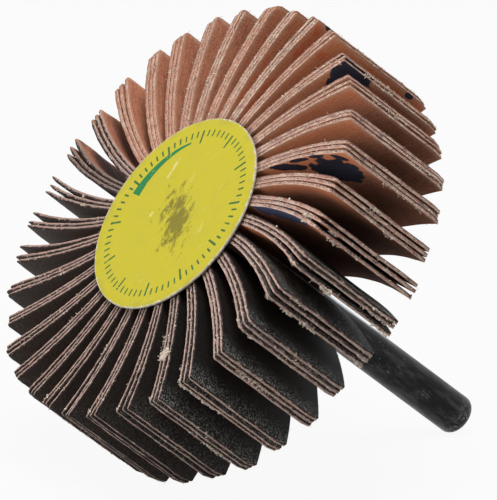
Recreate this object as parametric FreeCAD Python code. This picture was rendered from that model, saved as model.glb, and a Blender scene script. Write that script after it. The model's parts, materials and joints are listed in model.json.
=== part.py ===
import FreeCAD, Part
import math
import os

# Mounted flap wheel: packs of abrasive cloth set round a resin core that is
# cast on a steel spindle, with a printed disc on its front face.
# Millimetres. The wheel is built about its spindle, with the flaps' front
# edges at height 0 and the spindle running down, and is then laid to rest on
# two of its packs and the end of the spindle.

# Packs of cloth
PACKS = 35              # packs round the wheel
SHEETS = 3              # sheets in a pack
SHEET_T = 0.62          # thickness of the abrasive cloth
FLAP_WIDTH = 20.0       # width of the cloth along the spindle
TIP_R = 35.2            # spindle axis to the tip of an unworn pack
CREASES = 5             # straight lengths that follow a sheet's bend
PACK_ROWS = [
    # set-back of the tip, gap before and after the middle sheet, wear of the tip
    (5.0, 0.1, 0.1, 1.1), (4.2, 0.6, 0.4, 1.4), (4.8, 0.3, 0.2, 1.4), (4.2, 0.5, 0.2, 1.3),
    (4.5, 0.2, 0.3, 1.5), (4.4, 0.0, 0.1, 1.7), (5.0, 0.1, 0.2, 1.1), (4.4, 0.1, 0.2, 1.6),
    (4.3, 0.0, 0.1, 1.3), (3.7, 0.4, 0.2, 1.0), (4.8, 0.1, 0.2, 1.3), (3.7, 0.6, 0.4, 1.0),
    (4.2, 0.2, 0.3, 1.5), (4.0, 0.8, 0.4, 1.3), (3.4, 0.6, 0.6, 2.3), (3.1, 1.0, 0.0, 1.5),
    (3.0, 1.1, 0.1, 1.7), (3.1, 0.3, 0.2, 1.2), (3.0, 0.1, 0.2, 1.9), (3.2, 0.4, 0.3, 1.0),
    (3.4, 0.1, 0.2, 0.9), (3.6, 0.0, 0.2, 0.6), (4.4, 0.5, 0.3, 0.8), (4.6, 0.4, 0.2, 0.6),
    (5.0, 0.2, 0.3, 0.5), (4.2, 0.5, 0.2, 0.6), (4.1, 0.1, 0.1, 0.0), (4.7, 0.1, 0.3, 0.3),
    (4.4, 0.1, 0.2, 0.5), (4.7, 0.2, 0.1, 1.5), (4.6, 0.4, 0.4, 1.3), (4.9, 0.6, 0.1, 0.4),
    (5.1, 0.5, 0.3, 0.5), (5.3, 0.2, 0.4, 1.1), (4.9, 0.2, 0.2, 1.0),
]
CORNER_WEAR = {         # pack number: length worn off the tip's front corner
    5: 0.5, 6: 1.6, 7: 1.1, 8: 1.2, 9: 1.1, 10: 0.6, 11: 1.3, 12: 0.9, 13: 1.2, 17: 0.6,
    21: 0.8, 22: 0.4, 29: 0.7, 30: 0.5,
}

# Resin core
ROOT_RIB = 0.2          # resin left between two packs at their inner ends
SEAT_DEPTH = 1.8        # depth of a pack's seat in the core
FRONT_CAP = 0.5         # resin in front of the seats
REAR_CAP = 1.2          # resin behind the seats
REAR_BEVEL = 0.6        # bevel round the core's rear rim
BOSS_R = 5.2            # foot of the cone of resin round the spindle
BOSS_H = 1.6            # height of that cone behind the rear face
BOSS_WALL = 0.7         # resin round the spindle at the cone's top

# Spindle
SHANK_R = 3.0
SHANK_OUT = 41.3        # shank behind the flaps
END_ROUND = 1.2         # round on the shank's free end, as two bevels
HEAD_R = 2.8            # head, turned down along all that the resin grips
HEAD_COVER = 2.0        # resin in front of the head
FLATS = 4               # flats milled on the head, so that it can't turn in the resin
FLAT_DEPTH = 0.3
FLAT_LEN = 9.0
FLAT_START = 3.0        # head's front end to the flats

# Printed disc
LABEL_R = 15.75
LABEL_T = 0.36
LABEL_OFF = 2.1         # the disc is stuck on off centre
LABEL_OFF_DEG = 280.0   # direction of that shift, seen from the front

# Pose at rest
REST_SIDE_DEG = 222.0   # side that lies down, seen from the front

PITCH = 360.0 / PACKS
PACK_T = SHEETS * SHEET_T
ROOT_R = (PACK_T + ROOT_RIB) / (2 * math.tan(math.radians(PITCH / 2)))
CORE_R = ROOT_R + SEAT_DEPTH
MID = (SHEETS - 1) / 2
END_STEP = END_ROUND * (1 - math.sqrt(0.5))
RESIN_REAR = -FLAP_WIDTH - REAR_CAP - BOSS_H
SHANK_END = -FLAP_WIDTH - SHANK_OUT
CUT_SPARE = SHEET_T     # what a cutting wedge reaches past the cloth


def vec(x, y, z=0.0):
    return FreeCAD.Vector(x, y, z)


def pack_row(number):
    return PACK_ROWS[number % len(PACK_ROWS)]


def tip_radius(number):
    return TIP_R - pack_row(number)[3]


def sheet_bend(number, place):
    """Bend radius of a sheet's middle, place 0 being the one that leads outward."""
    set_back, gap_before, gap_after, _ = pack_row(number)
    steps = place - MID
    gap = gap_after if steps > 0 else gap_before
    set_back -= steps * gap
    run = tip_radius(number) - CORE_R
    return (run ** 2 + set_back ** 2) / (2 * set_back) + steps * SHEET_T


def sheet_side(number, place, side):
    """Points along one face of a sheet, from the core to its tip; side is -1 or 1."""
    bend = sheet_bend(number, place)
    centre_y = (place - MID) * SHEET_T - bend
    radius = bend + side * SHEET_T / 2
    tip_r = tip_radius(number)
    step = (tip_r - CORE_R) / CREASES
    runs = [i * step for i in range(CREASES)]
    points = [vec(CORE_R + run, centre_y + math.sqrt(radius ** 2 - run ** 2)) for run in runs]
    reach = (tip_r ** 2 - CORE_R ** 2 - centre_y ** 2 - radius ** 2) / (2 * radius)
    turn = math.asin(reach / math.hypot(CORE_R, centre_y)) - math.atan2(centre_y, CORE_R)
    return points + [vec(CORE_R + radius * math.sin(turn), centre_y + radius * math.cos(turn))]


def corner_cut(number, wear):
    """Wedge that takes the worn front corner off a pack's tip."""
    tip = tip_radius(number) + CUT_SPARE
    half = TIP_R / 2
    points = [
        vec(tip - wear - 2 * CUT_SPARE, -half, CUT_SPARE), vec(tip, -half, CUT_SPARE),
        vec(tip, -half, -wear - CUT_SPARE),
    ]
    face = Part.Face(Part.makePolygon(points + points[:1]))
    return face.extrude(vec(0, 2 * half, 0))


def sheet(number, place):
    """One sheet of cloth: straight in its seat, then bent back to its tip."""
    root = [vec(ROOT_R, (place - MID + side / 2) * SHEET_T) for side in (1, -1)]
    outline = root + sheet_side(number, place, -1) + sheet_side(number, place, 1)[::-1]
    face = Part.Face(Part.makePolygon(outline + outline[:1]))
    solid = face.extrude(vec(0, 0, -FLAP_WIDTH))
    wear = CORNER_WEAR.get(number, 0.0)
    if wear:
        solid = solid.cut(corner_cut(number, wear))
    return solid


def turn_to_pack(shape, number):
    shape.rotate(vec(0, 0, 0), vec(0, 0, 1), number * PITCH)
    return shape


def flap_pack(number):
    sheets = [sheet(number, place) for place in range(SHEETS)]
    return turn_to_pack(Part.makeCompound(sheets), number)


def turned(profile):
    """Solid turned about the spindle axis from (radius, height) points."""
    points = [vec(r, 0, z) for r, z in profile]
    return Part.Face(Part.makePolygon(points + points[:1])).revolve(vec(0, 0, 0), vec(0, 0, 1))


def spindle():
    """Steel spindle: plain shank with a rounded end, and a head with flats."""
    head_top = FRONT_CAP - HEAD_COVER
    rod = turned([
        (0, head_top), (HEAD_R, head_top), (HEAD_R, RESIN_REAR), (SHANK_R, RESIN_REAR),
        (SHANK_R, SHANK_END + END_ROUND), (SHANK_R - END_STEP, SHANK_END + END_STEP),
        (SHANK_R - END_ROUND, SHANK_END), (0, SHANK_END),
    ])
    low = vec(HEAD_R - FLAT_DEPTH, -SHANK_R, head_top - FLAT_START - FLAT_LEN)
    cuts = []
    for i in range(FLATS):
        cut = Part.makeBox(SHANK_R, 2 * SHANK_R, FLAT_LEN, low)
        cut.rotate(vec(0, 0, 0), vec(0, 0, 1), i * 360.0 / FLATS)
        cuts.append(cut)
    return rod.cut(cuts)


def core(spindle_solid):
    """Resin core, with a closed seat for the root of each pack."""
    rear = -FLAP_WIDTH - REAR_CAP
    body = turned([
        (0, FRONT_CAP), (CORE_R, FRONT_CAP), (CORE_R, rear + REAR_BEVEL),
        (CORE_R - REAR_BEVEL, rear), (BOSS_R, rear),
        (SHANK_R + BOSS_WALL, RESIN_REAR), (0, RESIN_REAR),
    ])
    seats = []
    for number in range(PACKS):
        seat = Part.makeBox(2 * SEAT_DEPTH, PACK_T, FLAP_WIDTH, vec(ROOT_R, -PACK_T / 2, -FLAP_WIDTH))
        seats.append(turn_to_pack(seat, number))
    return body.cut(seats).cut(spindle_solid)


def label_disc():
    angle = math.radians(LABEL_OFF_DEG)
    place = vec(LABEL_OFF * math.cos(angle), LABEL_OFF * math.sin(angle), FRONT_CAP)
    return Part.makeCylinder(LABEL_R, LABEL_T, place)


def tip_corner(number, place, side):
    """Corner of a sheet's tip, seen along the spindle."""
    tip = sheet_side(number, place, side)[-1]
    angle = math.radians(number * PITCH)
    cosine, sine = math.cos(angle), math.sin(angle)
    return vec(tip.x * cosine - tip.y * sine, tip.x * sine + tip.y * cosine)


def rest_turns():
    """Angle of the side that faces down, and slope of the spindle, in degrees."""
    lean = math.degrees(math.asin(pack_row(0)[0] / TIP_R))
    first = int((REST_SIDE_DEG + lean) // PITCH)
    near = tip_corner(first, SHEETS - 1, 1)
    far = tip_corner(first + 1, 0, -1)
    down = math.atan2(near.x - far.x, far.y - near.y)
    reach = near.x * math.cos(down) + near.y * math.sin(down)
    slope = math.atan2(reach - SHANK_R + END_STEP, -FLAP_WIDTH - SHANK_END - END_STEP)
    return math.degrees(down), math.degrees(slope)


def laid_to_rest(shapes):
    """Turn the wheel on to its two packs and shank end, and stand it on the ground."""
    down, slope = rest_turns()
    for shape in shapes.values():
        shape.rotate(vec(0, 0, 0), vec(0, 0, 1), -90.0 - down)
        shape.rotate(vec(0, 0, 0), vec(1, 0, 0), 90.0 - slope)
    box = Part.makeCompound(list(shapes.values())).optimalBoundingBox(False, False)
    for shape in shapes.values():
        shape.translate(vec(-box.Center.x, -box.Center.y, -box.ZMin))
    print("spindle slope", round(slope, 3), "side down", round(down, 3))
    print("shift", round(-box.Center.x, 4), round(-box.Center.y, 4), round(-box.ZMin, 4))
    print("size", round(box.XLength, 3), round(box.YLength, 3), round(box.ZLength, 3))
    return shapes


def build():
    steel = spindle()
    shapes = {"spindle": steel, "core": core(steel), "label_disc": label_disc()}
    for number in range(PACKS):
        shapes["flap_pack_%02d" % (number + 1)] = flap_pack(number)
    return laid_to_rest(shapes)


os.makedirs("parts", exist_ok=True)
for name, shape in build().items():
    shape.exportStep("parts/%s.step" % name)
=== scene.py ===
import json
import math
import random

import bmesh
import bpy
from mathutils import Matrix, Vector


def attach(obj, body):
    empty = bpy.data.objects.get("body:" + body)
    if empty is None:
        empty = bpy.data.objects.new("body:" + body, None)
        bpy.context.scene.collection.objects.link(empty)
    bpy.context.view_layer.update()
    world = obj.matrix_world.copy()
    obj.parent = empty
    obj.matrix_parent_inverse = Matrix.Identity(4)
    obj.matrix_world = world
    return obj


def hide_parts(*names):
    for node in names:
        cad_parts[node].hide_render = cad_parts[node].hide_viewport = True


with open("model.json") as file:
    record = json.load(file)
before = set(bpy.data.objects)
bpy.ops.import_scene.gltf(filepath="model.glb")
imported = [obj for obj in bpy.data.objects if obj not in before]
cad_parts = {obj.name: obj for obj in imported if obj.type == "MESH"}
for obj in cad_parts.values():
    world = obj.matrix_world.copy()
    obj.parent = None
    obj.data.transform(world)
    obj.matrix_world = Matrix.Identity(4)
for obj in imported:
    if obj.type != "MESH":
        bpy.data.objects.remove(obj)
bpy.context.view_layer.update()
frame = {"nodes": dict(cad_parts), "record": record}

# Looks of a mounted flap wheel: packs of frayed abrasive cloth, a scuffed
# printed disc, a worn black spindle and a cast resin core.
# Shapes are worked out in the wheel's own space, in millimetres, with the
# flaps' front edges at height 0 and the spindle running down. TO_ROW then
# lays them in the frame of the model, in metres. Packs are counted from 0
# in the tables: pack 0 becomes cloth_pack_01.

bl_info = {
    "name": "Mounted flap wheel",
    "version": (1, 0, 0),
    "blender": (4, 5, 0),
    "location": "3D View > Sidebar > Flap Wheel",
    "description": "Cloth packs, printed disc, spindle, resin core and studio of a flap wheel",
    "category": "Add Mesh",
}

MM = 0.001

# Packs of cloth
PACKS = 35
SHEETS = 3
SHEET_THICKNESS = 0.62
PITCH = 2 * math.pi / PACKS
ROOT_RIB = 0.2                      # left between the inner ends of two packs
SEAT_DEPTH = 1.8                    # length of a pack inside the resin
SHEET_CREASE = math.radians(38)     # flatter edges of a sheet are shaded smooth
PACK_ROWS = [
    # set-back of the tip, gap before and after the middle sheet, wear of the tip
    (5.0, 0.1, 0.1, 1.1), (4.2, 0.6, 0.4, 1.4), (4.8, 0.3, 0.2, 1.4), (4.2, 0.5, 0.2, 1.3),
    (4.5, 0.2, 0.3, 1.5), (4.4, 0.0, 0.1, 1.7), (5.0, 0.1, 0.2, 1.1), (4.4, 0.1, 0.2, 1.6),
    (4.3, 0.0, 0.1, 1.3), (3.7, 0.4, 0.2, 1.0), (4.8, 0.1, 0.2, 1.3), (3.7, 0.6, 0.4, 1.0),
    (4.2, 0.2, 0.3, 1.5), (4.0, 0.8, 0.4, 1.3), (3.4, 0.6, 0.6, 2.3), (3.1, 1.0, 0.0, 1.5),
    (3.0, 1.1, 0.1, 1.7), (3.1, 0.3, 0.2, 1.2), (3.0, 0.1, 0.2, 1.9), (3.2, 0.4, 0.3, 1.0),
    (3.4, 0.1, 0.2, 0.9), (3.6, 0.0, 0.2, 0.6), (4.4, 0.5, 0.3, 0.8), (4.6, 0.4, 0.2, 0.6),
    (5.0, 0.2, 0.3, 0.5), (4.2, 0.5, 0.2, 0.6), (4.1, 0.1, 0.1, 0.0), (4.7, 0.1, 0.3, 0.3),
    (4.4, 0.1, 0.2, 0.5), (4.7, 0.2, 0.1, 1.5), (4.6, 0.4, 0.4, 1.3), (4.9, 0.6, 0.1, 0.4),
    (5.1, 0.5, 0.3, 0.5), (5.3, 0.2, 0.4, 1.1), (4.9, 0.2, 0.2, 1.0),
]
CORNER_WEAR = {         # pack number: length worn off the tip's front corner
    5: 0.5, 6: 1.3, 7: 0.6, 8: 0.5, 9: 0.7, 10: 0.4, 11: 0.7, 12: 0.7, 13: 1.2, 17: 0.6,
    21: 0.8, 22: 0.4, 29: 0.7, 30: 0.5,
}
STAINS = {              # pack number: ovals, as middle along and across, slope, half length and width
    2: [(18.4, 3.4, -0.25, 4.4, 3.2)],
    3: [(20.2, 16.3, 0.0, 0.5, 0.8)],
    4: [(20.4, 2.4, 0.0, 0.5, 0.8)],
    32: [(10.0, 1.0, 0.08, 6.4, 2.3), (17.5, 0.6, 0.0, 3.0, 0.5)],
    34: [(14.8, 4.4, 0.0, 4.3, 3.3), (7.8, 1.4, 0.35, 2.7, 0.9), (10.6, 0.5, 0.04, 2.0, 0.42),
         (14.2, 0.4, 0.02, 1.5, 0.40), (18.5, 1.3, 0.5, 1.3, 0.8)],
}
NO_STAIN = (0.0, 0.0, 0.0, 0.01, 0.01)
STAIN_OVALS = 5

# Fluff and glue on the edges: pack, sheet, along and across where the run starts,
# along and across where it ends, how far it spreads, number of bits, size of the crumbs
TUFTS = [
    (26, 0, 13.7, 0, 15.2, 0, 0.5, 34, 0.46), (26, 1, 13.7, 0, 15.4, 0, 0.5, 34, 0.46),
    (26, 2, 13.9, 0, 15.2, 0, 0.4, 22, 0.4), (26, 0, 14.1, 0, 15, 0, 0.5, 6, 0.8),
    (26, 1, 14.1, 0, 15, 0, 0.3, 5, 0.75), (26, 0, 10.4, -0.1, 13.6, -0.3, 0.22, 22, 0.16),
    (26, 0, 21.4, 0, 22, 0.5, 0.4, 16, 0.3), (25, 0, 21, 0, 21.6, 0.8, 0.45, 16, 0.22),
    (27, 0, 18.6, 0, 21.2, 0, 0.35, 26, 0.26), (27, 0, 21.7, 0, 21.7, 8.5, 0.36, 190, 0.3),
    (27, 1, 21.7, 3, 21.7, 8.5, 0.35, 50, 0.22), (29, 0, 18.6, 0, 20.4, 0.3, 0.35, 26, 0.24),
    (29, 0, 20.5, 1.4, 20.5, 3.2, 0.3, 24, 0.24), (30, 0, 20, 0, 20.8, 0.3, 0.35, 20, 0.24),
    (30, 0, 20.9, 2.8, 20.9, 5.2, 0.35, 34, 0.26), (30, 2, 20.9, 1.6, 20.9, 6.5, 0.25, 40, 0.24),
    (30, 0, 20.9, 7, 20.9, 10, 0.4, 40, 0.28), (31, 0, 19.4, 0, 20.6, 0.2, 0.35, 22, 0.24),
    (31, 0, 21.8, 3.6, 21.8, 4.6, 0.25, 12, 0.22), (26, 0, 22.2, 11, 22.2, 17, 0.4, 90, 0.3),
    (28, 1, 21.7, 4, 21.7, 11, 0.45, 80, 0.22), (1, 1, 20.7, 5, 20.7, 12.5, 0.45, 60, 0.24),
    (0, 1, 21, 11.5, 21, 19.5, 0.5, 60, 0.24), (34, 0, 21.1, 8, 21.1, 17, 0.3, 44, 0.22),
    (33, 1, 21, 7, 21, 16, 0.4, 50, 0.24), (32, 1, 16.5, 0, 19, 0, 0.4, 26, 0.24),
    (32, 0, 21.6, 2, 21.6, 5, 0.35, 30, 0.26), (2, 0, 21, 4, 21, 12, 0.35, 40, 0.22),
    (5, 1, 6, 0, 19, 0, 0.45, 60, 0.2), (6, 1, 7, 0, 19, 0, 0.4, 44, 0.2), (4, 1, 4, 0, 18, 0, 0.4, 50, 0.2),
    (20, 0, 7.8, 0, 10, 0, 0.3, 16, 0.18), (23, 0, 9.6, 0, 11.4, 0, 0.3, 12, 0.18),
    (22, 0, 19.6, 0, 21, 0.4, 0.35, 18, 0.22), (30, 2, 20.8, 16.5, 20.8, 19.8, 0.35, 30, 0.26),
    (31, 2, 21.8, 15, 21.8, 19.6, 0.35, 34, 0.26), (24, 0, 20.6, 0, 21.4, 0.5, 0.35, 16, 0.22),
    (30, 0, 20.6, 18.4, 20.4, 20.1, 0.32, 40, 0.28), (30, 1, 20.6, 18.4, 20.4, 20.1, 0.32, 40, 0.28),
    (30, 2, 20.6, 18.6, 20.4, 20.1, 0.3, 28, 0.26), (31, 1, 21.8, 13, 21.8, 19.4, 0.3, 44, 0.24),
    (31, 0, 21.8, 16, 21.8, 19.8, 0.3, 34, 0.28), (33, 1, 21, 7.4, 21, 9.4, 0.4, 36, 0.3),
    (33, 2, 21, 7.4, 21, 9.6, 0.4, 44, 0.3), (33, 0, 21, 11.2, 21, 12.8, 0.35, 30, 0.28),
    (32, 1, 21.6, 2.2, 21.6, 3.8, 0.35, 36, 0.28), (31, 0, 21.8, 5.4, 21.8, 7.6, 0.5, 60, 0.34),
    (32, 1, 17.4, 0, 18.6, 0, 0.35, 30, 0.3), (32, 0, 17.2, 0, 18.4, 0, 0.3, 16, 0.26),
]

FEATHERED = (12, 13, 14, 15, 16, 17, 32)     # packs whose tips are worn thin

# Pale scuffs on the disc: middle, half length and width in mm, how strong
SCUFFS = [
    (0.3, 9.1, 1.9, 0.42, 0.55), (-4.5, 2.7, 0.5, 0.4, 0.7), (4.6, -6.5, 1.2, 0.5, 0.20), (3.6, 4.4, 1.6, 0.4, 0.14),
]

# Spindle and core
SHANK_END = -61.3
RESIN_REAR = -22.8
CORE_FRONT = 0.5
HEAD_TOP = CORE_FRONT - 2.0         # upper end of the spindle, inside the resin
TURNED_CREASE = math.radians(40)    # flatter edges of a turned piece are shaded smooth
HIGHLIGHT_SIDE = math.radians(26)      # side of the shank that carries the painted highlight strip

# Pose at rest: the wheel's side that faces down, seen along the spindle
SIDE_DOWN = math.radians(220.748)
SHANK_MOUNT = frame["record"]["mounts"][0]
SHANK_MIDDLE = -41.45               # height of the mount on the spindle


def wheel_to_row():
    """Matrix from the wheel's own millimetres to the model's metres."""
    up = -Vector(SHANK_MOUNT["axis"]).normalized()
    origin = Vector(SHANK_MOUNT["pos_m"]) - up * SHANK_MIDDLE * MM
    across = Vector((1, 0, 0))
    down = across.cross(up)
    cosine, sine = math.cos(SIDE_DOWN), math.sin(SIDE_DOWN)
    x_axis = down * cosine - across * sine
    y_axis = down * sine + across * cosine
    turn = Matrix((x_axis, y_axis, up)).transposed().to_4x4()
    return Matrix.Translation(origin) @ turn @ Matrix.Scale(MM, 4)


TO_ROW = wheel_to_row()


# Node building

class Wire:
    """Output of a node. Sums, products and the like of it add Math nodes."""

    def __init__(self, graph, socket):
        self.graph = graph
        self.socket = socket

    def math(self, operation, *others, swap=False):
        values = [self, *others]
        if swap:
            values.reverse()
        return self.graph.add("ShaderNodeMath", dict(enumerate(values)), operation=operation)

    def __add__(self, other):
        return self.math("ADD", other)

    def __radd__(self, other):
        return self.math("ADD", other)

    def __sub__(self, other):
        return self.math("SUBTRACT", other)

    def __rsub__(self, other):
        return self.math("SUBTRACT", other, swap=True)

    def __mul__(self, other):
        return self.math("MULTIPLY", other)

    def __rmul__(self, other):
        return self.math("MULTIPLY", other)

    def __truediv__(self, other):
        return self.math("DIVIDE", other)

    def __rtruediv__(self, other):
        return self.math("DIVIDE", other, swap=True)

    def __pow__(self, other):
        return self.math("POWER", other)

    def __gt__(self, other):
        return self.math("GREATER_THAN", other)

    def __lt__(self, other):
        return self.math("LESS_THAN", other)

    def at_most(self, other):
        return self.math("MINIMUM", other)

    def at_least(self, other):
        return self.math("MAXIMUM", other)

    def between(self, low, high):
        return (self > low) * (self < high)

    def spread(self, low, high, new_low, new_high, how="LINEAR"):
        ends = {"Value": self, "From Min": low, "From Max": high, "To Min": new_low, "To Max": new_high}
        return self.graph.add("ShaderNodeMapRange", ends, interpolation_type=how)

    def fade(self, low, high):
        """0 below low and 1 above high, with a soft step between."""
        return self.spread(low, high, 0.0, 1.0, "SMOOTHSTEP")

    def beside(self, name):
        """Another output of the same node."""
        return Wire(self.graph, self.socket.node.outputs[name])


class Graph:
    """A shader or geometry tree that is being built."""

    def __init__(self, tree):
        self.tree = tree

    def find(self, sockets, key):
        if isinstance(key, int):
            return sockets[key]
        return next(s for s in sockets if s.name == key and s.enabled)

    def add(self, kind, sockets=None, out=0, **settings):
        """New node: its settings first, then its sockets' values or links."""
        node = self.tree.nodes.new(kind)
        for name, value in settings.items():
            setattr(node, name, value)
        for key, value in (sockets or {}).items():
            socket = self.find(node.inputs, key)
            for one in value if isinstance(value, list) else [value]:
                if isinstance(one, Wire):
                    self.tree.links.new(one.socket, socket)
                else:
                    socket.default_value = one
        if not node.outputs:
            return node
        return Wire(self, self.find(node.outputs, out))

    def xyz(self, x, y, z):
        return self.add("ShaderNodeCombineXYZ", {0: x, 1: y, 2: z})

    def split(self, vector):
        first = self.add("ShaderNodeSeparateXYZ", {0: vector})
        return [Wire(self, output) for output in first.socket.node.outputs]

    def noise(self, vector, scale, detail=3.0, roughness=0.6, out=0):
        values = {"Vector": vector, "Scale": scale, "Detail": detail, "Roughness": roughness}
        return self.add("ShaderNodeTexNoise", values, out)

    def cells(self, vector, scale, out=0):
        return self.add("ShaderNodeTexVoronoi", {"Vector": vector, "Scale": scale}, out)

    def random(self, least, most, seed):
        """A random number or vector for each point."""
        kind = "FLOAT_VECTOR" if isinstance(least, tuple) else "FLOAT"
        values = {"Min": least, "Max": most, "Seed": seed}
        return self.add("FunctionNodeRandomValue", values, "Value", data_type=kind)

    def own_random(self, number):
        """The same random share, from 0 to 1, wherever this number is the same."""
        return self.add("ShaderNodeTexWhiteNoise", {"W": number}, noise_dimensions="1D")

    def blend(self, share, first, second, how="MIX"):
        """Colour between two colours."""
        values = {"Factor": share, "A": first, "B": second}
        return self.add("ShaderNodeMix", values, "Result", data_type="RGBA", blend_type=how)

    def tint(self, base, share, *values):
        """This share of a colour, as read from a screen, laid over another."""
        return self.blend(share, base, paint(*values))

    def tints(self, base, *layers):
        """Several tints in turn, each as its share and its colour's three values."""
        for layer in layers:
            base = self.tint(base, *layer)
        return base

    def attribute(self, name):
        """The three parts of a value that is stored on the mesh."""
        return self.split(self.add("ShaderNodeAttribute", out="Vector", attribute_name=name))


def srgb(red, green, blue):
    """Linear colour of values that are read from a screen, 0 to 255."""
    def linear(value):
        value /= 255
        return value / 12.92 if value <= 0.04045 else ((value + 0.055) / 1.055) ** 2.4
    return (linear(red), linear(green), linear(blue))


def opaque(colour):
    return (*colour, 1.0)


def paint(red, green, blue):
    return opaque(srgb(red, green, blue))


def diagonal(first, second):
    """Long side of a right triangle with these two Wires as its short sides."""
    return (first * first + second * second).math("SQRT")


def new_material(name):
    material = bpy.data.materials.new(name)
    material.use_nodes = True
    material.node_tree.nodes.clear()
    return material, Graph(material.node_tree)


def finish_material(g, values, height, distance, strength):
    """Principled shader with a bump, led to the material's output."""
    bump = g.add("ShaderNodeBump", {"Strength": strength, "Distance": distance, "Height": height})
    shader = g.add("ShaderNodeBsdfPrincipled", {**values, "Normal": bump})
    g.add("ShaderNodeOutputMaterial", {"Surface": shader})


# Materials

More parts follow.
